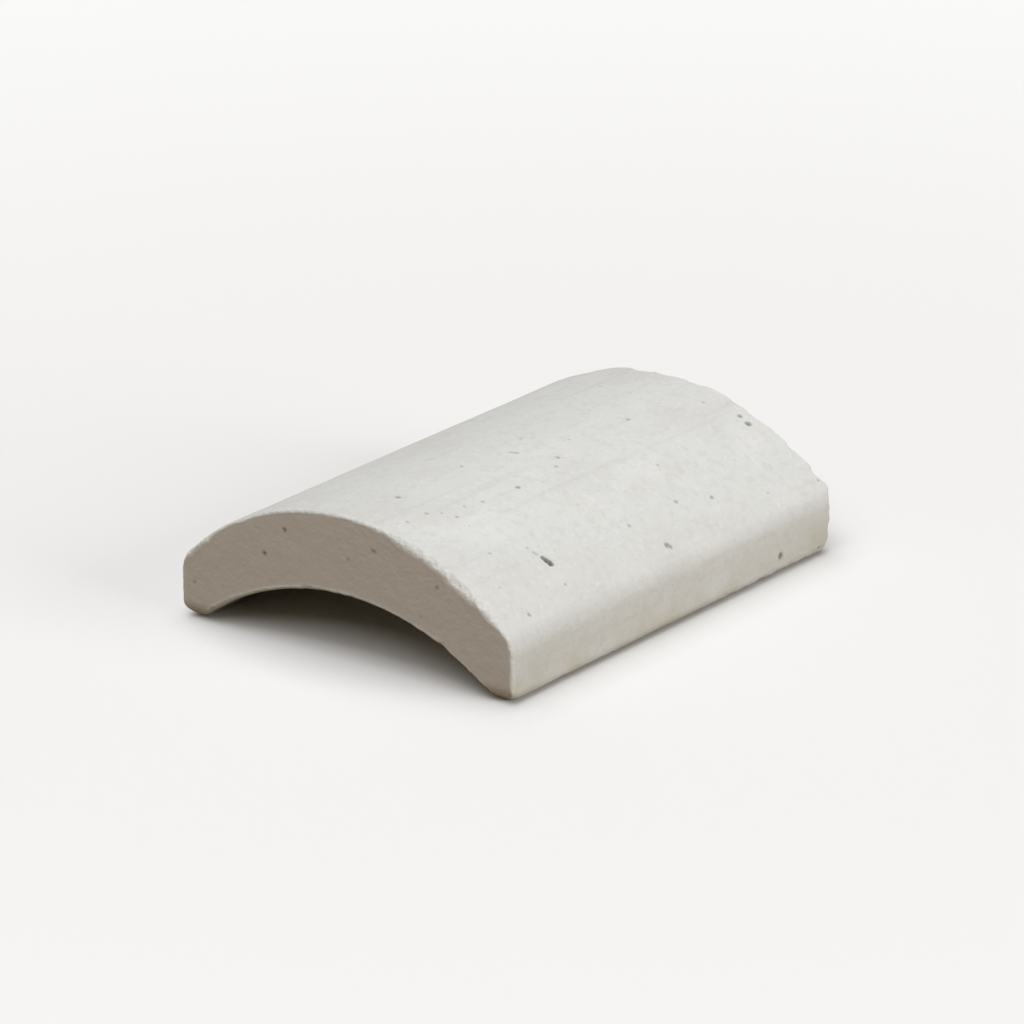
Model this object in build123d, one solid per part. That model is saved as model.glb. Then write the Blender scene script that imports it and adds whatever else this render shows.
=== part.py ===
from build123d import *
import math
import os

# A small barrel roof tile, cast in one piece of pale clay: a thick arched section that
# runs straight along its length. The crown and the hollow have the same radius, so that
# tiles nest in a stack, and the wall thins from the crown to a narrow foot along each
# long edge. Sizes are in millimetres.
#
# X runs across the tile, Y along its length, and Z up from the plane of the feet.
# The origin is on that plane, in the middle of the tile.

# Overall sizes
tile_length = 45.0
tile_width = 34.0

# Section
crown_thickness = 7.0
hollow_rise = 5.5
side_height = 4.2

# Feet: a flat strip to stand on, rounded into the side and into the hollow
foot_flat = 0.7
foot_radius = 1.2
lip_radius = 0.35

# Ends: the corners of the feet, and the worn arrises all round each end face
end_corner_radius = 1.6
arris_radius = 0.45

# The hollow is one arc from foot to foot, and the crown has the same radius above it.
half_width = tile_width / 2
half_span = half_width - foot_radius - foot_flat
crown_radius = (half_span**2 + hollow_rise**2) / (2 * hollow_rise)
tile_height = hollow_rise + crown_thickness
crown_centre_z = tile_height - crown_radius

# Each shoulder is an arc tangent to the crown and to the upright side of the tile.
shoulder_drop = side_height - crown_centre_z
shoulder_radius = (crown_radius**2 - half_width**2 - shoulder_drop**2) / (
    2 * (crown_radius - half_width)
)
shoulder_centre_x = half_width - shoulder_radius
shoulder_start = math.degrees(math.atan2(shoulder_drop, shoulder_centre_x))


def section():
    """Arched cross-section of the tile, drawn as its right half and mirrored."""
    with BuildSketch(Plane.XZ) as sketch:
        with BuildLine():
            CenterArc(
                (0, hollow_rise - crown_radius),
                crown_radius,
                90,
                -math.degrees(math.asin(half_span / crown_radius)),
            )
            Line((half_span, 0), (half_span + foot_flat, 0))
            CenterArc(
                (half_width - foot_radius, foot_radius), foot_radius, -90, 90
            )
            Line((half_width, foot_radius), (half_width, side_height))
            CenterArc(
                (shoulder_centre_x, side_height), shoulder_radius, 0, shoulder_start
            )
            CenterArc(
                (0, crown_centre_z), crown_radius, shoulder_start, 90 - shoulder_start
            )
            mirror(about=Plane.YZ)
        make_face()
        lips = [
            corner
            for corner in sketch.vertices()
            if abs(corner.Y) < 0.001 and abs(abs(corner.X) - half_span) < 0.001
        ]
        fillet(lips, lip_radius)
    return sketch.sketch


def side_outline():
    """Side elevation of the tile, with its lower corners rounded."""
    with BuildSketch(Plane.YZ) as sketch:
        Rectangle(tile_length, tile_height, align=(Align.CENTER, Align.MIN))
        fillet(sketch.vertices().group_by(Axis.Y)[0], end_corner_radius)
    return sketch.sketch


def barrel_tile():
    """The tile: its section along its length, with worn arrises and rounded corners."""
    bar = extrude(section(), amount=tile_length / 2, both=True)
    end_faces = bar.faces().group_by(Axis.Y)
    arrises = end_faces[0].edges() + end_faces[-1].edges()
    worn_bar = fillet(arrises, arris_radius)
    return worn_bar & extrude(side_outline(), amount=half_width, both=True)


tile = barrel_tile()
os.makedirs("parts", exist_ok=True)
export_step(tile, "parts/barrel_tile.step")
print("size", tile.bounding_box().size, "volume", round(tile.volume, 1))
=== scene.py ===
"""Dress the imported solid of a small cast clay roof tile, and set it in a plain studio.

The tile is meshed by Geometry Nodes from the same section that the solid has, and is then
weathered: worn arrises, air pits, drag lines and the slow unevenness of a cast face.
"""

from __future__ import annotations

import logging
import math
from dataclasses import dataclass
from enum import Enum
from typing import Any, Iterator

import bpy
from bpy.types import ID, Material, Mesh, Node, NodeOutputs, NodeSocket, NodeTree, Object, World
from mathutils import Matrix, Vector


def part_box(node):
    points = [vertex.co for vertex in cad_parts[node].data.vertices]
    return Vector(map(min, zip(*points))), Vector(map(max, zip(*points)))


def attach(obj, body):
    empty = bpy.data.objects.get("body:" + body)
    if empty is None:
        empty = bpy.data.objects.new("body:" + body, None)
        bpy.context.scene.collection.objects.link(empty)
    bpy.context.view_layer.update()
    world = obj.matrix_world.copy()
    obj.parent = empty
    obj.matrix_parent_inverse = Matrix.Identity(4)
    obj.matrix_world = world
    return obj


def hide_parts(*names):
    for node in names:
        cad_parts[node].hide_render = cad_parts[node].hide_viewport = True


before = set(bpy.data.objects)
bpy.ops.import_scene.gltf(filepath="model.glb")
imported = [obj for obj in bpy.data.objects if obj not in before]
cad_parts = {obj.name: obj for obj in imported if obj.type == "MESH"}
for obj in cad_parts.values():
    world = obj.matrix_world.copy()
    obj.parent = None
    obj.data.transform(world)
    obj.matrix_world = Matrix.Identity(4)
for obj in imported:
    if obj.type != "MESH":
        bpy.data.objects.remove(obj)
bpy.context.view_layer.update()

log = logging.getLogger("clay_tile")

MM = 0.001
TILE_NODE = "barrel_tile"
TRIANGLE_LIMIT = 190_000

# Names of the values that the tile's mesh carries for its material and its making.
# The pit mark carries a painted shade for the open pits.
PIT_SHADE_MARK = "pit"
WORN_MARK = "worn"
END_MARK = "end_face"
BUBBLE_RADIUS = "bubble_radius"

# With this setting a Map Range node eases into both ends of its range.
EASED = {"interpolation_type": "SMOOTHSTEP"}


def linear(hex_colour: str) -> tuple[float, float, float, float]:
    """Turn an sRGB hex colour into the linear values that a shader takes.

    Args:
        hex_colour: Six hex digits with a leading hash sign.

    Returns:
        Linear red, green and blue, with an alpha of 1.
    """
    channels = []
    for start in (1, 3, 5):
        value = int(hex_colour[start : start + 2], 16) / 255
        channels.append(value / 12.92 if value <= 0.04045 else ((value + 0.055) / 1.055) ** 2.4)
    return (*channels, 1.0)


def add_node(tree: NodeTree, kind: str, inputs: dict[int | str, Any] | None = None, **settings: Any) -> Node:
    """Add a node to a tree, with its settings and what its inputs take.

    Args:
        tree: The node tree to add to.
        kind: The node's Blender type name.
        inputs: What each input takes, by the input's number or its name among those in
            use: a value, a socket, or a node, which stands for its first output in use.
        **settings: Properties of the node itself.

    Returns:
        The new node.
    """
    node = tree.nodes.new(kind)
    for name, value in settings.items():
        setattr(node, name, value)
    for name, source in (inputs or {}).items():
        if isinstance(name, str):
            taker = next(socket for socket in node.inputs if socket.enabled and socket.name == name)
        else:
            taker = node.inputs[name]
        if isinstance(source, Node):
            source = next(output for output in source.outputs if output.enabled)
        if isinstance(source, NodeSocket):
            tree.links.new(source, taker)
        else:
            taker.default_value = source
    return node


def bare_tree(owner: Material | World) -> NodeTree:
    """Give a material or a world a node tree with nothing in it.

    Args:
        owner: The material or the world.

    Returns:
        Its node tree.
    """
    owner.use_nodes = True
    owner.node_tree.nodes.clear()
    return owner.node_tree


def add_object(name: str, data: ID) -> Object:
    """Put a mesh, a light or a camera in the scene as an object.

    Args:
        name: The object's name.
        data: What the object holds.

    Returns:
        The object, at the origin.
    """
    made = bpy.data.objects.new(name, data)
    bpy.context.scene.collection.objects.link(made)
    return made


def plain_mesh(piece: Object) -> Mesh:
    """Evaluate an object's modifiers.

    Args:
        piece: The object to read.

    Returns:
        A new mesh with the modifiers' result.
    """
    depsgraph = bpy.context.evaluated_depsgraph_get()
    return bpy.data.meshes.new_from_object(piece.evaluated_get(depsgraph))


def triangle_count(mesh: Mesh) -> int:
    """Count the triangles that a mesh's faces come to."""
    return sum(len(polygon.vertices) - 2 for polygon in mesh.polygons)


@dataclass(frozen=True)
class Band:
    """A band of values over which something goes from its least to its most."""

    start: float
    end: float
    least: float = 0.0
    most: float = 1.0

    def lookup(self, value: Any) -> dict[str, Any]:
        """Give what a node takes to look a value up in the band.

        Args:
            value: The node or socket that gives the value.

        Returns:
            The inputs of a Map Range node, by name.
        """
        return {
            "Value": value,
            "From Min": self.start,
            "From Max": self.end,
            "To Min": self.least,
            "To Max": self.most,
        }


class Face(Enum):
    """Where on the tile a mark lies."""

    OUTSIDE = "outside"
    HOLLOW = "hollow"
    FRONT_END = "front end"


@dataclass(frozen=True)
class AirPit:
    """A bubble left open in the cast face, or a short tear made of several, in millimetres.

    Its place is the distance round the section and along the tile, or on an end face the
    distance across and the height.
    """

    face: Face
    place: tuple[float, float]
    width: float
    depth: float
    run: tuple[float, float] = (0.0, 0.0)
    end_width: float = 0.0
    step: float = 0.3

    def bubbles(self) -> Iterator[tuple[tuple[float, float], float]]:
        """Step along the mark by a share of its narrower end.

        Yields:
            The place of each bubble on its face, and its width.
        """
        reach = math.hypot(*self.run)
        last = self.end_width or self.width
        count = 1 + math.ceil(reach / (self.step * min(self.width, last)))
        for number in range(count):
            share = number / max(count - 1, 1)
            spot = (self.place[0] + share * self.run[0], self.place[1] + share * self.run[1])
            yield spot, self.width + share * (last - self.width)


@dataclass(frozen=True)
class TileShape:
    """The tile's sizes in millimetres: its box from the frame, the rest as in the solid."""

    length: float
    width: float
    height: float
    hollow_rise: float = 5.5
    side_height: float = 4.2
    foot_flat: float = 0.7
    foot_radius: float = 1.2
    lip_radius: float = 0.35
    end_corner_radius: float = 1.6
    arris_radius: float = 0.45

    @property
    def crown_radius(self) -> float:
        """Radius of the hollow, and of the crown above it."""
        half_span = self.width / 2 - self.foot_radius - self.foot_flat
        return (half_span**2 + self.hollow_rise**2) / (2 * self.hollow_rise)

    @property
    def crown_centre(self) -> float:
        """Height of the crown arc's centre."""
        return self.height - self.crown_radius

    @property
    def hollow_centre(self) -> float:
        """Height of the hollow arc's centre."""
        return self.hollow_rise - self.crown_radius

    @property
    def shoulder_radius(self) -> float:
        """Radius of the arc that meets the crown and the upright side."""
        drop = self.side_height - self.crown_centre
        spare = self.crown_radius**2 - (self.width / 2) ** 2 - drop**2
        return spare / (2 * (self.crown_radius - self.width / 2))

    @property
    def shoulder_centre(self) -> float:
        """Distance of the shoulder arc's centre from the middle of the tile."""
        return self.width / 2 - self.shoulder_radius

    def outside(self, girth: float) -> tuple[Vector, Vector]:
        """Find a point of the outside by its distance round the section.

        Args:
            girth: Distance round the outside from the crown line, positive to the right.

        Returns:
            The point, at the middle of the tile's length, and the outward normal there.
        """
        turn = math.atan2(self.shoulder_centre, self.side_height - self.crown_centre)
        crown_girth = self.crown_radius * turn
        angle = abs(girth) / self.crown_radius
        centre, radius = Vector((0, 0, self.crown_centre)), self.crown_radius
        if abs(girth) > crown_girth:
            angle = turn + (abs(girth) - crown_girth) / self.shoulder_radius
            centre, radius = Vector((self.shoulder_centre, 0, self.side_height)), self.shoulder_radius
        below = 0.0
        if angle > math.pi / 2:
            below = (angle - math.pi / 2) * self.shoulder_radius
            angle = math.pi / 2
        normal = Vector((math.sin(angle), 0, math.cos(angle)))
        point = centre + radius * normal - Vector((0, 0, below))
        if girth < 0:
            point.x, normal.x = -point.x, -normal.x
        return point, normal

    def hollow(self, girth: float) -> tuple[Vector, Vector]:
        """Find a point of the hollow by its distance round the section.

        Args:
            girth: Distance round the hollow from its top line, positive to the right.

        Returns:
            The point, at the middle of the tile's length, and the normal out of the clay.
        """
        angle = girth / self.crown_radius
        outward = Vector((math.sin(angle), 0, math.cos(angle)))
        return Vector((0, 0, self.hollow_centre)) + self.crown_radius * outward, -outward

    def spot(self, face: Face, place: tuple[float, float]) -> tuple[Vector, Vector]:
        """Find a point of a face by its place there.

        Args:
            face: The face.
            place: The two distances that an air pit's place gives.

        Returns:
            The point, and the normal out of the clay there.
        """
        if face is Face.FRONT_END:
            return Vector((place[0], -self.length / 2, place[1])), Vector((0, -1, 0))
        around = self.outside if face is Face.OUTSIDE else self.hollow
        point, normal = around(place[0])
        point.y = place[1]
        return point, normal


@dataclass(frozen=True)
class Tone:
    """One layer of tone on the clay: a cloud of one colour, with the size of its patches."""

    colour: str
    across_mm: float
    along_mm: float
    start: float
    end: float
    most: float
    detail: float = 3.0
    relief_mm: float = 0.0

    def lay(self, tree: NodeTree, place: NodeSocket, under: Any) -> tuple[Node, Node]:
        """Lay the tone over a colour.

        Args:
            tree: The material's tree.
            place: Object coordinates.
            under: The colour below.

        Returns:
            The node that gives the colour, and the noise that the tone follows.
        """
        scale = (1 / (self.across_mm * MM), 1 / (self.along_mm * MM), 1 / (self.across_mm * MM))
        spot = add_node(tree, "ShaderNodeMapping", {"Vector": place, "Scale": scale})
        noise = add_node(tree, "ShaderNodeTexNoise", {"Vector": spot, "Scale": 1.0, "Detail": self.detail})
        patches = Band(self.start, self.end, most=self.most).lookup(noise)
        share = add_node(tree, "ShaderNodeMapRange", patches, **EASED)
        over = {"Factor": share, "A": under, "B": linear(self.colour)}
        return add_node(tree, "ShaderNodeMix", over, data_type="RGBA"), noise


@dataclass(frozen=True)
class CastClay:
    """Unglazed cast clay body, demoulded and dried: matt, chalky, pale grey, fine in grain.

    The mould leaves a smooth skin, so the eye sees slow tone changes and fine grain, and
    the open air pits carry a painted shade. Handling rubs the arrises pale. A warm painted
    shade lies low on the sides and on the end faces, in place of bounce light and shade.
    """

    name: str = "cast clay body"
    body: str = "#dddeda"
    tones: tuple[Tone, ...] = (
        Tone("#d7d7d2", across_mm=9.0, along_mm=14.0, start=0.44, end=0.66, most=0.7),
        Tone("#e5e5e1", across_mm=5.0, along_mm=8.0, start=0.48, end=0.70, most=0.5),
        Tone("#d0d0cc", across_mm=0.9, along_mm=26.0, start=0.54, end=0.74, most=0.4, relief_mm=0.03),
        Tone("#d8d4ca", across_mm=3.0, along_mm=4.0, start=0.56, end=0.74, most=0.3),
        Tone("#c9c9c4", across_mm=0.8, along_mm=1.0, start=0.50, end=0.70, most=0.26, relief_mm=0.04),
        Tone("#ebebe8", across_mm=0.5, along_mm=0.5, start=0.52, end=0.70, most=0.32),
        Tone("#bdbcb5", across_mm=0.25, along_mm=0.25, start=0.60, end=0.72, most=0.45, relief_mm=0.02),
    )
    # Painted warm shade and bounce light, darker towards the bottom of the sides.
    low_painted_shade: str = "#c7c1aa"
    low_painted_shade_mm: float = 5.0
    low_painted_shade_most: float = 0.8
    low_shade_patch_mm: float = 4.0
    low_shade_patches: Band = Band(0.3, 0.65)
    # Painted warm shade on the end faces.
    end_painted_shade: str = "#d7cec5"
    dust: str = "#e2e2dc"
    dust_patches: Band = Band(0.4, 0.6)
    crumb_mm: float = 0.4
    crumb_relief_mm: float = 0.12
    # Painted shade: the dark colour laid in the open pits.
    pit: str = "#45413a"
    roughness: float = 0.95
    specular: float = 0.25

    def material(self) -> Material:
        """Build the clay's material.

        Returns:
            The material, with its patterns on object coordinates.
        """
        clay = bpy.data.materials.new(self.name)
        tree = bare_tree(clay)
        place = add_node(tree, "ShaderNodeTexCoord").outputs["Object"]
        colour, normal = linear(self.body), {}
        for tone in self.tones:
            colour, noise = tone.lay(tree, place, colour)
            if tone.relief_mm:
                relief = {"Height": noise, "Distance": tone.relief_mm * MM}
                normal = {"Normal": add_node(tree, "ShaderNodeBump", relief | normal)}
        # Lay the painted warm shade low on the sides and on the end faces.
        colour = self.painted_warm_shade(tree, place, colour)
        colour, crumbled = self.weathered(tree, place, colour)
        relief = {"Height": crumbled, "Distance": self.crumb_relief_mm * MM}
        normal = {"Normal": add_node(tree, "ShaderNodeBump", relief | normal)}
        finish = {"Base Color": colour, "Roughness": self.roughness, "Specular IOR Level": self.specular}
        shader = add_node(tree, "ShaderNodeBsdfPrincipled", finish | normal)
        add_node(tree, "ShaderNodeOutputMaterial", {"Surface": shader})
        return clay

    def painted_warm_shade(self, tree: NodeTree, place: NodeSocket, colour: Any) -> Node:
        """Lay a painted warm shade on the clay low on the sides and on the end faces.

        Args:
            tree: The material's tree.
            place: Object coordinates.
            colour: The colour so far.

        Returns:
            The node that gives the colour with the painted warm shade.
        """
        height = add_node(tree, "ShaderNodeSeparateXYZ", {"Vector": place}).outputs["Z"]
        cloud = {"Vector": place, "Scale": 1 / (self.low_shade_patch_mm * MM), "Detail": 3.0}
        patch = add_node(tree, "ShaderNodeTexNoise", cloud)
        patch = add_node(tree, "ShaderNodeMapRange", self.low_shade_patches.lookup(patch))
        # Painted shade: darker and warmer towards the bottom of the sides, in patches.
        low = Band(self.low_painted_shade_mm * MM, 0.0, most=self.low_painted_shade_most).lookup(height)
        low = add_node(tree, "ShaderNodeMapRange", low, **EASED)
        low = add_node(tree, "ShaderNodeMath", {0: low, 1: patch}, operation="MULTIPLY")
        # Painted warm shade on the end faces.
        end_shade = add_node(tree, "ShaderNodeAttribute", attribute_name=END_MARK).outputs["Fac"]
        for share, stain in ((low, self.low_painted_shade), (end_shade, self.end_painted_shade)):
            over = {"Factor": share, "A": colour, "B": linear(stain)}
            colour = add_node(tree, "ShaderNodeMix", over, data_type="RGBA")
        return colour

    def weathered(self, tree: NodeTree, place: NodeSocket, colour: Any) -> tuple[Node, Node]:
        """Crumble and dust the rubbed arrises, and lay painted shade in the open pits.

        Args:
            tree: The material's tree.
            place: Object coordinates.
            colour: The colour so far.

        Returns:
            The node that gives the weathered colour, and the height of the crumbs.
        """
        rubbed = add_node(tree, "ShaderNodeAttribute", attribute_name=WORN_MARK).outputs["Fac"]
        cloud = {"Vector": place, "Scale": 1 / (self.crumb_mm * MM), "Detail": 2.0}
        crumbs = add_node(tree, "ShaderNodeTexNoise", cloud)
        crumbled = add_node(tree, "ShaderNodeMath", {0: crumbs, 1: rubbed}, operation="MULTIPLY")
        dusty = add_node(tree, "ShaderNodeMapRange", self.dust_patches.lookup(crumbs))
        dusty = add_node(tree, "ShaderNodeMath", {0: rubbed, 1: dusty}, operation="MULTIPLY")
        # Painted shade in the open pits, darker where they are deep.
        pitted = add_node(tree, "ShaderNodeAttribute", attribute_name=PIT_SHADE_MARK).outputs["Fac"]
        for share, tint in ((dusty, self.dust), (pitted, self.pit)):
            over = {"Factor": share, "A": colour, "B": linear(tint)}
            colour = add_node(tree, "ShaderNodeMix", over, data_type="RGBA")
        return colour, crumbled


@dataclass(frozen=True)
class Weathering:
    """What casting and handling did to the tile's faces and edges.

    Sizes are in millimetres, and a noise's scale is its number of patches in a millimetre.
    A noise stays near a half, so the bands that pick patches out of one are narrow.
    """

    unevenness: float = 0.14
    uneven_scale: float = 0.09
    drag_depth: float = 0.05
    drag_scale: tuple[float, float, float] = (0.7, 0.03, 0.7)
    seed: int = 14
    worn_scale: float = 0.16
    worn_patches: Band = Band(0.45, 0.68)
    more_behind: Band = Band(0.0, 22.0, most=0.14)
    flake_scale: float = 0.4
    flake_patches: Band = Band(0.45, 0.62)
    flaked_back: Band = Band(16.0, 22.0)
    arris_loss: float = 0.6
    lip_loss: float = 0.4
    crumb_depth: float = 0.2
    crumb_scale: float = 1.5
    crumb_patches: Band = Band(0.42, 0.68)
    crumb_reach: Band = Band(0.0, 1.0, least=0.35, most=1.3)
    rub_reach: Band = Band(0.0, 1.0, least=0.5, most=1.5)
    rub_full: float = 0.25
    # Picks out the end faces for their painted warm shade.
    end_shade_faces: Band = Band(0.15, 0.6)


@dataclass(frozen=True)
class Pitting:
    """The air bubbles that the casting left open: small ones scattered, larger ones placed.

    Sizes are in millimetres. A scattered bubble's centre stands out of the face by a share
    of its radius, and large ones are rare by a power of an even chance. The rim is how far
    a pit's edge is rounded, and the shade gives how dark the painted shade in a pit gets by its depth.
    """

    seed: int = 11
    spacing: float = 2.2
    density: float = 0.014
    radius: Band = Band(0.0, 1.0, least=0.13, most=0.27)
    rarity: float = 3.0
    stand_out: float = 0.4
    ragged_scale: float = 3.0
    ragged: Band = Band(0.0, 1.0, least=0.75, most=1.25)
    rim: float = 0.1
    inside: Band = Band(0.1, -0.05)
    # How much painted shade a pit gets by its depth.
    shade: Band = Band(0.0, 0.35, least=0.5)
    placed: tuple[AirPit, ...] = (
        AirPit(Face.OUTSIDE, (11.9, -13.0), 0.34, 0.12),
        AirPit(Face.OUTSIDE, (12.5, -12.9), 0.26, 0.12, run=(0.3, 0.15)),
        AirPit(Face.OUTSIDE, (13.3, -12.5), 0.32, 0.36, run=(0.7, 0.2), end_width=0.44),
        AirPit(Face.OUTSIDE, (16.9, 0.5), 0.6, 0.22),
        AirPit(Face.OUTSIDE, (17.1, 0.7), 0.5, 0.18),
        AirPit(Face.OUTSIDE, (22.3, 14.6), 0.6, 0.3),
        AirPit(Face.OUTSIDE, (4.6, 0.2), 0.42, 0.16),
        AirPit(Face.OUTSIDE, (5.5, -1.2), 0.4, 0.14),
        AirPit(Face.OUTSIDE, (5.9, -6.9), 0.45, 0.2),
        AirPit(Face.OUTSIDE, (4.3, -17.0), 0.35, 0.14),
        AirPit(Face.OUTSIDE, (5.0, -15.9), 0.3, 0.12),
        AirPit(Face.OUTSIDE, (6.1, -15.3), 0.32, 0.14),
        AirPit(Face.OUTSIDE, (5.4, -13.4), 0.3, 0.1),
        AirPit(Face.OUTSIDE, (5.7, -11.4), 0.35, 0.14),
        AirPit(Face.OUTSIDE, (8.8, 20.4), 0.48, 0.25),
        AirPit(Face.OUTSIDE, (9.9, 20.2), 0.6, 0.3),
        AirPit(Face.OUTSIDE, (13.8, 5.1), 0.4, 0.12),
        AirPit(Face.OUTSIDE, (13.9, -1.6), 0.45, 0.1),
        AirPit(Face.OUTSIDE, (1.4, -2.1), 0.32, 0.12, run=(0.5, 0.3)),
        AirPit(Face.OUTSIDE, (0.4, -7.3), 0.35, 0.12),
        AirPit(Face.OUTSIDE, (10.9, -16.8), 0.35, 0.12),
        AirPit(Face.OUTSIDE, (17.2, -18.5), 0.4, 0.14),
        AirPit(Face.HOLLOW, (11.2, -20.9), 0.4, 0.14),
        AirPit(Face.HOLLOW, (7.5, -20.2), 0.5, 0.22),
        AirPit(Face.HOLLOW, (7.0, -20.9), 0.4, 0.16),
        AirPit(Face.HOLLOW, (5.9, -19.1), 0.35, 0.12),
        AirPit(Face.HOLLOW, (-0.6, -0.5), 0.45, 0.16),
        AirPit(Face.HOLLOW, (-0.4, -13.5), 0.4, 0.12),
        AirPit(Face.HOLLOW, (-3.2, -16.2), 0.38, 0.14),
        AirPit(Face.HOLLOW, (-4.6, -5.8), 0.42, 0.16),
        AirPit(Face.HOLLOW, (-11.1, -14.8), 0.45, 0.18),
        AirPit(Face.HOLLOW, (-11.6, -16.1), 0.3, 0.12),
        AirPit(Face.HOLLOW, (-12.0, -18.4), 0.3, 0.1),
        AirPit(Face.HOLLOW, (-12.5, -17.2), 0.35, 0.14),
        AirPit(Face.HOLLOW, (-12.9, -15.8), 0.3, 0.1),
        AirPit(Face.HOLLOW, (-13.5, -18.7), 0.4, 0.16),
        AirPit(Face.HOLLOW, (-14.0, -16.8), 0.35, 0.14),
        AirPit(Face.FRONT_END, (-6.0, 9.9), 0.5, 0.2),
        AirPit(Face.FRONT_END, (3.0, 10.1), 0.36, 0.14, run=(0.3, -0.08), end_width=0.28),
        AirPit(Face.FRONT_END, (-8.1, 7.4), 0.45, 0.18),
        AirPit(Face.FRONT_END, (0.5, 8.8), 0.3, 0.12),
        AirPit(Face.FRONT_END, (9.4, 8.4), 0.4, 0.16),
    )


@dataclass(frozen=True)
class CastTile:
    """The tile: one cast piece, meshed from its section and weathered, in millimetres.

    Its surface is where the depth in the clay is nothing, read on a grid of small cells.
    """

    shape: TileShape
    clay: CastClay = CastClay()
    weathering: Weathering = Weathering()
    pitting: Pitting = Pitting()
    voxel: float = 0.12
    rough_voxel: float = 0.6
    grid_margin: float = 0.75
    foot_turn: Band = Band(-1.0, 1.0)

    def pit_points(self) -> Mesh:
        """Place the bubbles of each mark that was read from the object.

        Returns:
            A mesh of loose points in millimetres, with each bubble's radius.
        """
        centres, radii = [], []
        for pit in self.pitting.placed:
            for place, width in pit.bubbles():
                point, normal = self.shape.spot(pit.face, place)
                depth = pit.depth * width / pit.width
                radius = (depth**2 + (width / 2) ** 2) / (2 * depth)
                centres.append(point + normal * (radius - depth))
                radii.append(radius)
        mesh = bpy.data.meshes.new("pit points")
        mesh.from_pydata(centres, [], [])
        mesh.attributes.new(BUBBLE_RADIUS, "FLOAT", "POINT").data.foreach_set("value", radii)
        return mesh

    def meeting_group(self) -> NodeTree:
        """Build the node group that rounds the corner where two faces meet squarely.

        Returns:
            A group that takes the depth under each face and a radius, and gives the depth
            under the rounded corner.
        """
        group = bpy.data.node_groups.new("rounded meeting", "GeometryNodeTree")
        for name in ("First", "Second", "Radius"):
            group.interface.new_socket(name=name, in_out="INPUT", socket_type="NodeSocketFloat")
        group.interface.new_socket(name="Depth", in_out="OUTPUT", socket_type="NodeSocketFloat")
        given = add_node(group, "NodeGroupInput").outputs
        faces = add_node(group, "ShaderNodeCombineXYZ", {"X": given["First"], "Y": given["Second"]})
        centre = add_node(group, "ShaderNodeCombineXYZ", {"X": given["Radius"], "Y": given["Radius"]})
        past = add_node(group, "ShaderNodeVectorMath", {0: centre, 1: faces}, operation="SUBTRACT")
        past = add_node(group, "ShaderNodeVectorMath", {0: past, 1: (0.0, 0.0, 0.0)}, operation="MAXIMUM")
        reach = add_node(group, "ShaderNodeVectorMath", {0: past}, operation="LENGTH")
        depth = add_node(group, "ShaderNodeMath", {0: given["Radius"], 1: reach}, operation="SUBTRACT")
        add_node(group, "NodeGroupOutput", {"Depth": depth})
        return group

    def sizes(self) -> dict[str, float]:
        """List what the tile's node tree takes, by the name of its input, in millimetres."""
        return {
            "Length": self.shape.length,
            "Width": self.shape.width,
            "Height": self.shape.height,
            "Crown radius": self.shape.crown_radius,
            "Crown centre": self.shape.crown_centre,
            "Hollow centre": self.shape.hollow_centre,
            "Side height": self.shape.side_height,
            "Shoulder radius": self.shape.shoulder_radius,
            "Shoulder centre": self.shape.shoulder_centre,
            "Foot radius": self.shape.foot_radius,
            "Lip radius": self.shape.lip_radius,
            "End corner radius": self.shape.end_corner_radius,
            "Arris radius": self.shape.arris_radius,
            "Unevenness": self.weathering.unevenness,
            "Drag depth": self.weathering.drag_depth,
            "Arris wear": self.weathering.arris_loss,
            "Crumb depth": self.weathering.crumb_depth,
            "Voxel": self.voxel,
            "Pit seed": self.pitting.seed,
            "Wear seed": self.weathering.seed,
        }

    def tree(self, material: Material) -> NodeTree:
        """Build the Geometry Nodes tree that meshes and weathers the tile.

        Args:
            material: What the tile is dressed in.

        Returns:
            The tree, which takes the placed pits and the tile's sizes.
        """
        tree = bpy.data.node_groups.new("cast tile", "GeometryNodeTree")
        face = tree.interface
        face.new_socket(name="Placed pits", in_out="INPUT", socket_type="NodeSocketGeometry")
        for name, size in self.sizes().items():
            kind = "NodeSocketInt" if isinstance(size, int) else "NodeSocketFloat"
            face.new_socket(name=name, in_out="INPUT", socket_type=kind)
        face.new_socket(name="Tile", in_out="OUTPUT", socket_type="NodeSocketGeometry")
        given = add_node(tree, "NodeGroupInput").outputs

        wear = self.wear_share(tree, given)
        clean, by_end, edge = self.clean_depth(tree, given, wear)
        worn = self.worn_depth(tree, given, clean, edge, wear)
        bubbles = self.bubbles(tree, given, self.meshed(tree, given, clean, self.rough_voxel))
        pitted, dark = self.pitted_depth(tree, worn, bubbles)
        cast = self.meshed(tree, given, pitted, given["Voxel"])

        look = self.weathering
        rub_reach = add_node(tree, "ShaderNodeMapRange", look.rub_reach.lookup(wear))
        rubbed = {"Value": edge, "From Min": rub_reach, "From Max": look.rub_full}
        rubbed = add_node(tree, "ShaderNodeMapRange", rubbed, **EASED)
        # Share of the painted warm shade on the end faces.
        end_shade = add_node(tree, "ShaderNodeMapRange", look.end_shade_faces.lookup(by_end), **EASED)
        # Store the painted pit shade, the rubbed arrises and the share of painted end-face shade.
        for name, value in ((PIT_SHADE_MARK, dark), (WORN_MARK, rubbed), (END_MARK, end_shade)):
            mark = {"Geometry": cast, "Name": name, "Value": value}
            cast = add_node(tree, "GeometryNodeStoreNamedAttribute", mark)
        cast = add_node(tree, "GeometryNodeTransform", {"Geometry": cast, "Scale": (MM, MM, MM)})
        cast = add_node(tree, "GeometryNodeSetShadeSmooth", {"Geometry": cast})
        cast = add_node(tree, "GeometryNodeRealizeInstances", {"Geometry": cast})
        cast = add_node(tree, "GeometryNodeSetMaterial", {"Geometry": cast, "Material": material})
        add_node(tree, "NodeGroupOutput", {"Tile": cast})
        return tree

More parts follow.
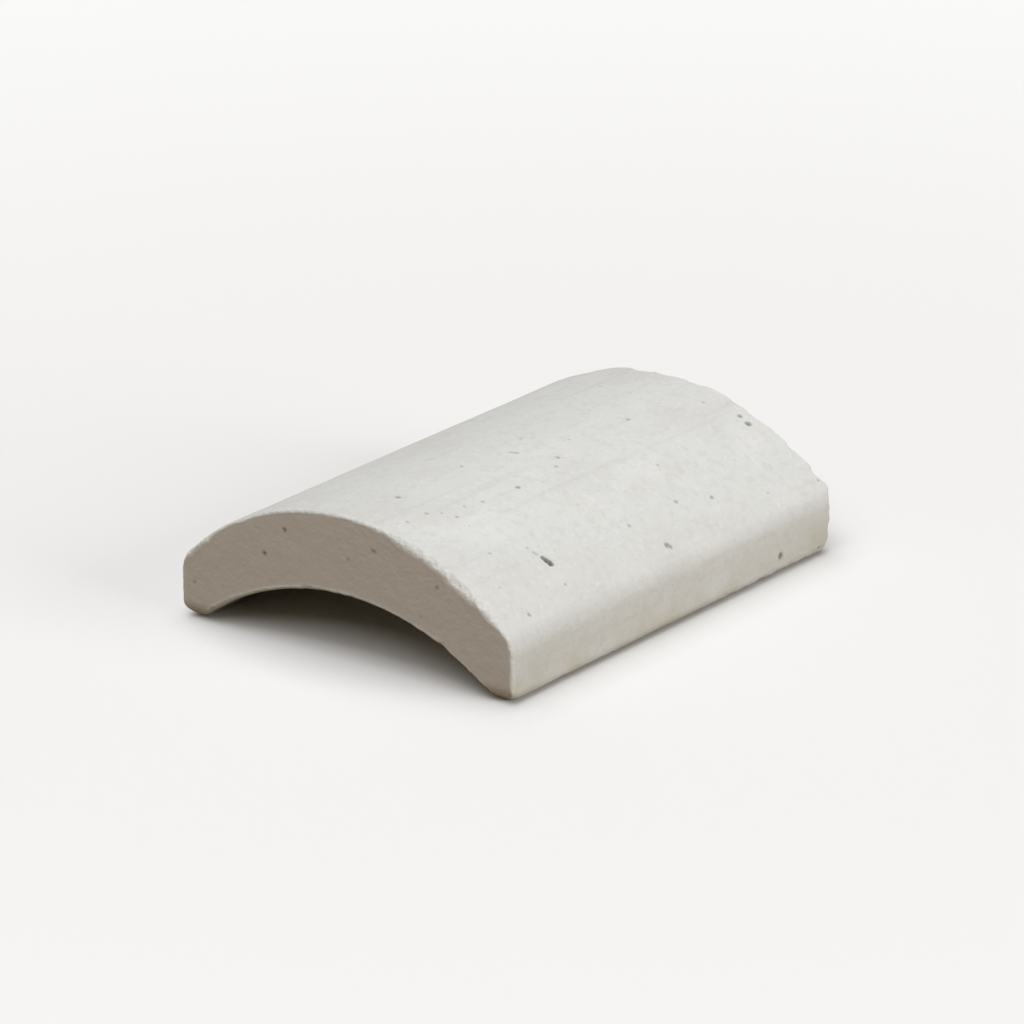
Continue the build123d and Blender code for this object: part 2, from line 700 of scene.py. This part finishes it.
    def wear_share(self, tree: NodeTree, given: NodeOutputs) -> Node:
        """Choose the stretches of edge that handling has worn, and those flaked at the back.

        Args:
            tree: The tile's tree.
            given: The tree's inputs.

        Returns:
            The node that is 0 where an edge is crisp, 1 where it is worn, and up to 2 where
            short flakes are off the back edges.
        """
        look = self.weathering
        place = add_node(tree, "GeometryNodeInputPosition")
        along = add_node(tree, "ShaderNodeSeparateXYZ", {"Vector": place}).outputs["Y"]
        cloud = {"Vector": place, "W": given["Wear seed"], "Scale": look.worn_scale, "Detail": 2.0}
        patch = add_node(tree, "ShaderNodeTexNoise", cloud, noise_dimensions="4D")
        backward = add_node(tree, "ShaderNodeMapRange", look.more_behind.lookup(along))
        patch = add_node(tree, "ShaderNodeMath", {0: patch, 1: backward}, operation="ADD")
        worn = add_node(tree, "ShaderNodeMapRange", look.worn_patches.lookup(patch), **EASED)
        cloud |= {"Scale": look.flake_scale, "Detail": 1.0}
        flake = add_node(tree, "ShaderNodeTexNoise", cloud, noise_dimensions="4D")
        at_back = add_node(tree, "ShaderNodeMapRange", look.flaked_back.lookup(along))
        flaked = look.flake_patches.lookup(flake) | {"To Max": at_back}
        flaked = add_node(tree, "ShaderNodeMapRange", flaked, **EASED)
        return add_node(tree, "ShaderNodeMath", {0: worn, 1: flaked}, operation="ADD")

    def outside_depth(self, tree: NodeTree, given: NodeOutputs, spot: Node) -> Node:
        """Work out how deep a point lies under the crown, the shoulder or the upright side.

        Args:
            tree: The tile's tree.
            given: The tree's inputs.
            spot: The point's distance from the middle of the tile, and its height.

        Returns:
            The node that gives the depth, negative outside.
        """
        at_crown = add_node(tree, "ShaderNodeCombineXYZ", {"Z": given["Crown centre"]})
        from_crown = add_node(tree, "ShaderNodeVectorMath", {0: spot, 1: at_crown}, operation="SUBTRACT")
        reach = add_node(tree, "ShaderNodeVectorMath", {0: from_crown}, operation="LENGTH")
        crown = add_node(tree, "ShaderNodeMath", {0: given["Crown radius"], 1: reach}, operation="SUBTRACT")

        # Below the shoulder's centre its arc goes straight down, as the upright side.
        at_shoulder = {"X": given["Shoulder centre"], "Z": given["Side height"]}
        at_shoulder = add_node(tree, "ShaderNodeCombineXYZ", at_shoulder)
        past = add_node(tree, "ShaderNodeVectorMath", {0: spot, 1: at_shoulder}, operation="SUBTRACT")
        past = add_node(tree, "ShaderNodeSeparateXYZ", {"Vector": past}).outputs
        above = add_node(tree, "ShaderNodeMath", {0: past["Z"], 1: 0.0}, operation="MAXIMUM")
        past = add_node(tree, "ShaderNodeCombineXYZ", {"X": past["X"], "Z": above})
        reach = add_node(tree, "ShaderNodeVectorMath", {0: past}, operation="LENGTH")
        shoulder = {0: given["Shoulder radius"], 1: reach}
        shoulder = add_node(tree, "ShaderNodeMath", shoulder, operation="SUBTRACT")

        # The crown reaches down to the line from its centre through the shoulder's centre.
        drop = {0: given["Crown centre"], 1: given["Side height"]}
        drop = add_node(tree, "ShaderNodeMath", drop, operation="SUBTRACT")
        divide = add_node(tree, "ShaderNodeCombineXYZ", {"X": drop, "Z": given["Shoulder centre"]})
        over = add_node(tree, "ShaderNodeVectorMath", {0: from_crown, 1: divide}, operation="DOT_PRODUCT")
        is_crown = add_node(tree, "FunctionNodeCompare", {"A": over, "B": 0.0}, operation="GREATER_EQUAL")
        choice = {"Switch": is_crown, "False": shoulder, "True": crown}
        return add_node(tree, "GeometryNodeSwitch", choice, input_type="FLOAT")

    def clean_depth(self, tree: NodeTree, given: NodeOutputs, wear: Node) -> tuple[Node, Node, Node]:
        """Work out how deep a point lies in the smooth tile, with its edges rounded.

        Args:
            tree: The tile's tree.
            given: The tree's inputs.
            wear: How worn the edges are there.

        Returns:
            The nodes that give the depth in the tile, negative outside, how much nearer
            the end face is than the other faces, and the distance from the nearest edge.
        """
        place = add_node(tree, "GeometryNodeInputPosition")
        place = add_node(tree, "ShaderNodeSeparateXYZ", {"Vector": place}).outputs
        across = add_node(tree, "ShaderNodeMath", {0: place["X"]}, operation="ABSOLUTE")
        along = add_node(tree, "ShaderNodeMath", {0: place["Y"]}, operation="ABSOLUTE")
        height = place["Z"]
        spot = add_node(tree, "ShaderNodeCombineXYZ", {"X": across, "Z": height})
        outside = self.outside_depth(tree, given, spot)

        at_hollow = add_node(tree, "ShaderNodeCombineXYZ", {"Z": given["Hollow centre"]})
        reach = add_node(tree, "ShaderNodeVectorMath", {0: spot, 1: at_hollow}, operation="DISTANCE")
        hollow = add_node(tree, "ShaderNodeMath", {0: reach, 1: given["Crown radius"]}, operation="SUBTRACT")

        half_length = add_node(tree, "ShaderNodeMath", {0: given["Length"], 1: 2.0}, operation="DIVIDE")
        end = add_node(tree, "ShaderNodeMath", {0: half_length, 1: along}, operation="SUBTRACT")
        meeting = self.meeting_group()
        corner = {"First": height, "Second": end, "Radius": given["End corner radius"]}
        profile = add_node(tree, "GeometryNodeGroup", corner, node_tree=meeting)

        # The outside is rounded wide into the feet and tight into the end faces, and wear
        # widens the tight radius there and the radius of the lips of the hollow.
        lost = add_node(tree, "ShaderNodeMath", {0: wear, 1: given["Arris wear"]}, operation="MULTIPLY")
        arris_radius = add_node(tree, "ShaderNodeMath", {0: given["Arris radius"], 1: lost}, operation="ADD")
        lip_radius = {0: lost, 1: self.weathering.lip_loss, 2: given["Lip radius"]}
        lip_radius = add_node(tree, "ShaderNodeMath", lip_radius, operation="MULTIPLY_ADD")
        foot_share = add_node(tree, "ShaderNodeMath", {0: end, 1: height}, operation="SUBTRACT")
        foot_share = add_node(tree, "ShaderNodeMapRange", self.foot_turn.lookup(foot_share), **EASED)
        radii = {"Factor": foot_share, "A": arris_radius, "B": given["Foot radius"]}
        corner = {"First": outside, "Second": profile, "Radius": add_node(tree, "ShaderNodeMix", radii)}
        outer = add_node(tree, "GeometryNodeGroup", corner, node_tree=meeting)
        corner = {"First": hollow, "Second": profile, "Radius": lip_radius}
        inner = add_node(tree, "GeometryNodeGroup", corner, node_tree=meeting)
        depth = add_node(tree, "ShaderNodeMath", {0: outer, 1: inner}, operation="MINIMUM")

        wall = add_node(tree, "ShaderNodeMath", {0: outside, 1: hollow}, operation="MINIMUM")
        edge = add_node(tree, "ShaderNodeMath", {0: end, 1: height}, operation="MINIMUM")
        edge = add_node(tree, "ShaderNodeMath", {0: wall, 1: edge}, operation="MAXIMUM")
        faces = add_node(tree, "ShaderNodeMath", {0: wall, 1: height}, operation="MINIMUM")
        by_end = add_node(tree, "ShaderNodeMath", {0: faces, 1: end}, operation="SUBTRACT")
        return depth, by_end, edge

    def worn_depth(self, tree: NodeTree, given: NodeOutputs, clean: Node, edge: Node, wear: Node) -> Node:
        """Take away what casting and handling left off the clean tile.

        Args:
            tree: The tile's tree.
            given: The tree's inputs.
            clean: Depth in the clean tile.
            edge: Distance from the nearest edge.
            wear: How worn the edges are there.

        Returns:
            The node that gives the depth in the worn tile.
        """
        look = self.weathering
        place = add_node(tree, "GeometryNodeInputPosition")
        cloud = {"Vector": place, "Scale": look.uneven_scale, "Detail": 2.0, "Roughness": 0.45}
        swell = add_node(tree, "ShaderNodeTexNoise", cloud)
        swell = add_node(tree, "ShaderNodeMath", {0: swell, 1: given["Unevenness"]}, operation="MULTIPLY")

        drawn = add_node(tree, "ShaderNodeVectorMath", {0: place, 1: look.drag_scale}, operation="MULTIPLY")
        drag = add_node(tree, "ShaderNodeTexNoise", {"Vector": drawn, "Scale": 1.0, "Detail": 1.0})
        drag = add_node(tree, "ShaderNodeMath", {0: drag, 1: given["Drag depth"]}, operation="MULTIPLY")
        loss = add_node(tree, "ShaderNodeMath", {0: swell, 1: drag}, operation="ADD")

        # Crumbs of under a millimetre are lost along the edges, more where they are worn.
        cloud = {"Vector": place, "Scale": look.crumb_scale, "Detail": 3.0, "Roughness": 0.6}
        crumb = add_node(tree, "ShaderNodeTexNoise", cloud)
        crumb = look.crumb_patches.lookup(crumb) | {"To Max": given["Crumb depth"]}
        crumb = add_node(tree, "ShaderNodeMapRange", crumb, **EASED)
        crumb_reach = add_node(tree, "ShaderNodeMapRange", look.crumb_reach.lookup(wear))
        near = {"Value": edge, "From Min": crumb_reach, "From Max": 0.0}
        near = add_node(tree, "ShaderNodeMapRange", near, **EASED)
        crumb = add_node(tree, "ShaderNodeMath", {0: crumb, 1: near}, operation="MULTIPLY")
        loss = add_node(tree, "ShaderNodeMath", {0: loss, 1: crumb}, operation="ADD")
        return add_node(tree, "ShaderNodeMath", {0: clean, 1: loss}, operation="SUBTRACT")

    def meshed(self, tree: NodeTree, given: NodeOutputs, depth: Node, voxel: Any) -> Node:
        """Mesh the surface where the depth is nothing.

        Args:
            tree: The tile's tree.
            given: The tree's inputs.
            depth: Depth in the tile.
            voxel: Spacing of the grid that the depth is read on, in millimetres.

        Returns:
            The node that gives the mesh.
        """
        margin = (self.grid_margin, self.grid_margin, self.grid_margin)
        half = add_node(tree, "ShaderNodeCombineXYZ", {"X": given["Width"], "Y": given["Length"]})
        half = add_node(tree, "ShaderNodeVectorMath", {0: half, "Scale": 0.5}, operation="SCALE")
        reach = add_node(tree, "ShaderNodeVectorMath", {0: half, 1: margin}, operation="ADD")
        top = add_node(tree, "ShaderNodeCombineXYZ", {"Z": given["Height"]})
        high = add_node(tree, "ShaderNodeVectorMath", {0: reach, 1: top}, operation="ADD")
        low = add_node(tree, "ShaderNodeVectorMath", {0: reach, "Scale": -1.0}, operation="SCALE")
        span = add_node(tree, "ShaderNodeVectorMath", {0: high, 1: low}, operation="SUBTRACT")
        spacing = add_node(tree, "ShaderNodeCombineXYZ", {"X": voxel, "Y": voxel, "Z": voxel})
        counts = add_node(tree, "ShaderNodeVectorMath", {0: span, 1: spacing}, operation="DIVIDE")
        counts = add_node(tree, "ShaderNodeSeparateXYZ", {"Vector": counts}).outputs
        grid = {f"Resolution {axis}": counts[axis] for axis in "XYZ"}
        grid |= {"Density": depth, "Background": -1.0, "Min": low, "Max": high}
        block = add_node(tree, "GeometryNodeVolumeCube", grid)
        return add_node(tree, "GeometryNodeVolumeToMesh", {"Volume": block, "Threshold": 0.0})

    def bubbles(self, tree: NodeTree, given: NodeOutputs, blank: Node) -> Node:
        """Scatter small air bubbles over the tile and join the placed ones to them.

        Args:
            tree: The tile's tree.
            given: The tree's inputs.
            blank: A rough mesh of the tile.

        Returns:
            The node that gives all the bubbles as points.
        """
        look, seed = self.pitting, given["Pit seed"]
        scattered = add_node(
            tree,
            "GeometryNodeDistributePointsOnFaces",
            {"Mesh": blank, "Distance Min": look.spacing, "Density Max": look.density, "Seed": seed},
            distribute_method="POISSON",
        )
        chance = add_node(tree, "FunctionNodeRandomValue", {"Min": 0.0, "Max": 1.0, "Seed": seed})
        chance = add_node(tree, "ShaderNodeMath", {0: chance, 1: look.rarity}, operation="POWER")
        radius = add_node(tree, "ShaderNodeMapRange", look.radius.lookup(chance))
        raised = add_node(tree, "ShaderNodeMath", {0: radius, 1: look.stand_out}, operation="MULTIPLY")
        outward = {0: scattered.outputs["Normal"], "Scale": raised}
        outward = add_node(tree, "ShaderNodeVectorMath", outward, operation="SCALE")
        points = {"Geometry": scattered.outputs["Points"], "Offset": outward}
        lifted = add_node(tree, "GeometryNodeSetPosition", points)
        sized = {"Geometry": lifted, "Name": BUBBLE_RADIUS, "Value": radius}
        sized = add_node(tree, "GeometryNodeStoreNamedAttribute", sized)
        placed = add_node(tree, "GeometryNodeMeshToPoints", {"Mesh": given["Placed pits"]})
        joined = add_node(tree, "GeometryNodeJoinGeometry", {0: sized})
        tree.links.new(placed.outputs[0], joined.inputs[0])
        return joined

    def pitted_depth(self, tree: NodeTree, worn: Node, bubbles: Node) -> tuple[Node, Node]:
        """Open the air pits in the worn tile.

        Args:
            tree: The tile's tree.
            worn: Depth in the worn tile.
            bubbles: The bubbles, as points with a radius.

        Returns:
            The node that gives the depth in the pitted tile, and the node that gives how much
            painted shade a pit gets there: 0 away from it, and 1 where it is deep.
        """
        look = self.pitting
        place = add_node(tree, "GeometryNodeInputPosition")
        nearest = {"Geometry": bubbles, "Sample Position": place}
        nearest = add_node(tree, "GeometryNodeSampleNearest", nearest)
        centre = {"Geometry": bubbles, "Value": place, "Index": nearest}
        centre = add_node(tree, "GeometryNodeSampleIndex", centre, data_type="FLOAT_VECTOR")
        size = add_node(tree, "GeometryNodeInputNamedAttribute", {"Name": BUBBLE_RADIUS}, data_type="FLOAT")
        radius = {"Geometry": bubbles, "Value": size, "Index": nearest}
        radius = add_node(tree, "GeometryNodeSampleIndex", radius)
        cloud = {"Vector": place, "Scale": look.ragged_scale, "Detail": 1.0}
        ragged = add_node(tree, "ShaderNodeTexNoise", cloud)
        ragged = add_node(tree, "ShaderNodeMapRange", look.ragged.lookup(ragged))
        reach = add_node(tree, "ShaderNodeVectorMath", {0: place, 1: centre}, operation="DISTANCE")
        reach = add_node(tree, "ShaderNodeMath", {0: reach, 1: ragged}, operation="MULTIPLY")
        clear = add_node(tree, "ShaderNodeMath", {0: reach, 1: radius}, operation="SUBTRACT")
        depth = add_node(tree, "ShaderNodeMath", {0: worn, 1: clear, 2: look.rim}, operation="SMOOTH_MIN")
        inside = add_node(tree, "ShaderNodeMapRange", look.inside.lookup(clear), **EASED)
        # Painted shade: a pit gets darker where it lies deeper in the worn tile.
        shade = add_node(tree, "ShaderNodeMapRange", look.shade.lookup(worn))
        dark = add_node(tree, "ShaderNodeMath", {0: inside, 1: shade}, operation="MULTIPLY")
        return depth, dark

    def build(self) -> Object:
        """Mesh the tile and hand it to the frame in place of the CAD node.

        Returns:
            The tile's object, with a plain mesh.
        """
        source = add_object("tile source", self.pit_points())
        caster = source.modifiers.new("cast tile", "NODES")
        caster.node_group = self.tree(self.clay.material())
        sizes = self.sizes()
        for socket in caster.node_group.interface.items_tree:
            if socket.name in sizes:
                caster[socket.identifier] = sizes[socket.name]
        dense = plain_mesh(source)
        triangles = triangle_count(dense)
        bpy.data.objects.remove(source)

        tile = add_object("cast_tile", dense)
        thinned = tile.modifiers.new("thinned", "DECIMATE")
        thinned.ratio = min(1.0, TRIANGLE_LIMIT / triangles)
        light = plain_mesh(tile)
        tile.modifiers.clear()
        tile.data = light
        log.info("cast_tile: %d triangles, thinned from %d", triangle_count(light), triangles)
        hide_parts(TILE_NODE)
        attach(tile, "root")
        return tile


@dataclass(frozen=True)
class Lamp:
    """A soft square lamp: its place and its side in metres, and its power in watts."""

    name: str
    place: tuple[float, float, float]
    size: float
    power: float


@dataclass
class Studio:
    """A plain pale floor, soft lamps and the camera, in metres and degrees.

    The floor keeps the tile's shadow near the tile, and fades into the white room between
    the two ends of its fade. The room's glow is the dim warm light that comes from all
    round, and it grows with the height that it comes from.
    """

    target: Vector
    backdrop: str = "#fcfcfb"
    floor_bounce: str = "#968870"
    floor_fade: Band = Band(0.035, 0.24)
    floor_reach: float = 4.0
    lamp_colour: str = "#fcfcfe"
    lamps: tuple[Lamp, ...] = (
        Lamp("sky", (-0.4, 0.0, 2.0), size=2.2, power=28.5),
        Lamp("right window", (2.0, 0.15, 0.45), size=1.2, power=27.0),
        Lamp("left window", (-1.8, 0.6, 1.2), size=1.4, power=4.0),
        Lamp("front sky", (0.3, -1.3, 1.6), size=1.2, power=11.5),
    )
    room_glow: str = "#fff2e2"
    glow_strength: Band = Band(0.0, 0.7, least=0.012, most=0.12)
    azimuth: float = 37.0
    elevation: float = 20.0
    distance: float = 0.554
    lens: float = 236.0
    clip_start: float = 0.01

    def seen(self, tree: NodeTree) -> Node:
        """Pick out the rays that show the backdrop itself, and not its light on the tile.

        Args:
            tree: The tree of the floor's paint or of the room.

        Returns:
            The node that is 1 for camera, glossy and transmission rays.
        """
        ray = add_node(tree, "ShaderNodeLightPath").outputs
        mirrored = {0: ray["Is Glossy Ray"], 1: ray["Is Transmission Ray"]}
        mirrored = add_node(tree, "ShaderNodeMath", mirrored, operation="MAXIMUM")
        return add_node(tree, "ShaderNodeMath", {0: ray["Is Camera Ray"], 1: mirrored}, operation="MAXIMUM")

    def floor_paint(self) -> Material:
        """Mix the floor's paint, pale where it is seen and browner in what it bounces.

        Returns:
            The paint, with its fade on object coordinates.
        """
        paint = bpy.data.materials.new("matt floor paint")
        tree = bare_tree(paint)
        seen = self.seen(tree)
        tones = {"Factor": seen, "A": linear(self.floor_bounce), "B": linear(self.backdrop)}
        tone = add_node(tree, "ShaderNodeMix", tones, data_type="RGBA")
        place = add_node(tree, "ShaderNodeTexCoord").outputs["Object"]
        distance = add_node(tree, "ShaderNodeVectorMath", {0: place}, operation="LENGTH")
        faded = add_node(tree, "ShaderNodeMapRange", self.floor_fade.lookup(distance), **EASED)
        faded = add_node(tree, "ShaderNodeMath", {0: faded, 1: seen}, operation="MULTIPLY")
        matt = add_node(tree, "ShaderNodeBsdfDiffuse", {"Color": tone})
        white = add_node(tree, "ShaderNodeEmission", {"Color": linear(self.backdrop), "Strength": 1.0})
        shader = add_node(tree, "ShaderNodeMixShader", {0: faded, 1: matt, 2: white})
        add_node(tree, "ShaderNodeOutputMaterial", {"Surface": shader})
        return paint

    def floor(self) -> Object:
        """Lay the floor.

        Returns:
            The floor's object.
        """
        reach = self.floor_reach
        corners = [(-reach, -reach, 0), (reach, -reach, 0), (reach, reach, 0), (-reach, reach, 0)]
        mesh = bpy.data.meshes.new("floor")
        mesh.from_pydata(corners, [], [(0, 1, 2, 3)])
        mesh.materials.append(self.floor_paint())
        floor = add_object("floor", mesh)
        return floor

    def camera(self) -> Object:
        """Stand the camera at the photograph's angle.

        Returns:
            The camera's object.
        """
        turn, rise = math.radians(self.azimuth), math.radians(self.elevation)
        back = Vector((math.sin(turn) * math.cos(rise), -math.cos(turn) * math.cos(rise), math.sin(rise)))
        data = bpy.data.cameras.new("camera")
        data.lens = self.lens
        data.clip_start = self.clip_start
        camera = add_object("camera", data)
        camera.location = self.target + self.distance * back
        camera.rotation_euler = back.to_track_quat("Z", "Y").to_euler()
        bpy.context.scene.camera = camera
        return camera

    def hang(self, lamp: Lamp) -> Object:
        """Hang a lamp so that it faces the tile.

        Args:
            lamp: The lamp.

        Returns:
            The lamp's object.
        """
        light = bpy.data.lights.new(lamp.name, "AREA")
        light.size = lamp.size
        light.energy = lamp.power
        light.color = linear(self.lamp_colour)[:3]
        hung = add_object(lamp.name, light)
        hung.location = lamp.place
        hung.rotation_euler = (Vector(lamp.place) - self.target).to_track_quat("Z", "Y").to_euler()
        return hung

    def room(self) -> World:
        """Set the dim warm light all round and the white room behind.

        Returns:
            The scene's new world.
        """
        world = bpy.data.worlds.new("room")
        bpy.context.scene.world = world
        tree = bare_tree(world)
        aim = add_node(tree, "ShaderNodeTexCoord").outputs["Generated"]
        rise = add_node(tree, "ShaderNodeSeparateXYZ", {"Vector": aim}).outputs["Z"]
        strength = add_node(tree, "ShaderNodeMapRange", self.glow_strength.lookup(rise))
        glow = {"Color": linear(self.room_glow), "Strength": strength}
        glow = add_node(tree, "ShaderNodeBackground", glow)
        behind = {"Color": linear(self.backdrop), "Strength": 1.0}
        behind = add_node(tree, "ShaderNodeBackground", behind)
        room = add_node(tree, "ShaderNodeMixShader", {0: self.seen(tree), 1: glow, 2: behind})
        add_node(tree, "ShaderNodeOutputWorld", {"Surface": room})
        return world


def main() -> None:
    """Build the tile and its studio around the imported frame."""
    logging.basicConfig(level=logging.INFO, format="%(name)s: %(message)s")
    low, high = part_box(TILE_NODE)
    shape = TileShape(
        length=(high[1] - low[1]) / MM,
        width=(high[0] - low[0]) / MM,
        height=(high[2] - low[2]) / MM,
    )
    tile = CastTile(shape).build()
    log.info("built %s", tile.name)
    studio = Studio(target=Vector((0.0, 0.0, (low[2] + high[2]) / 2)))
    for piece in (studio.floor(), studio.camera(), *map(studio.hang, studio.lamps), studio.room()):
        log.info("set %s", piece.name)
    bpy.context.scene.view_settings.view_transform = "Standard"


if __name__ == "__main__":
    main()
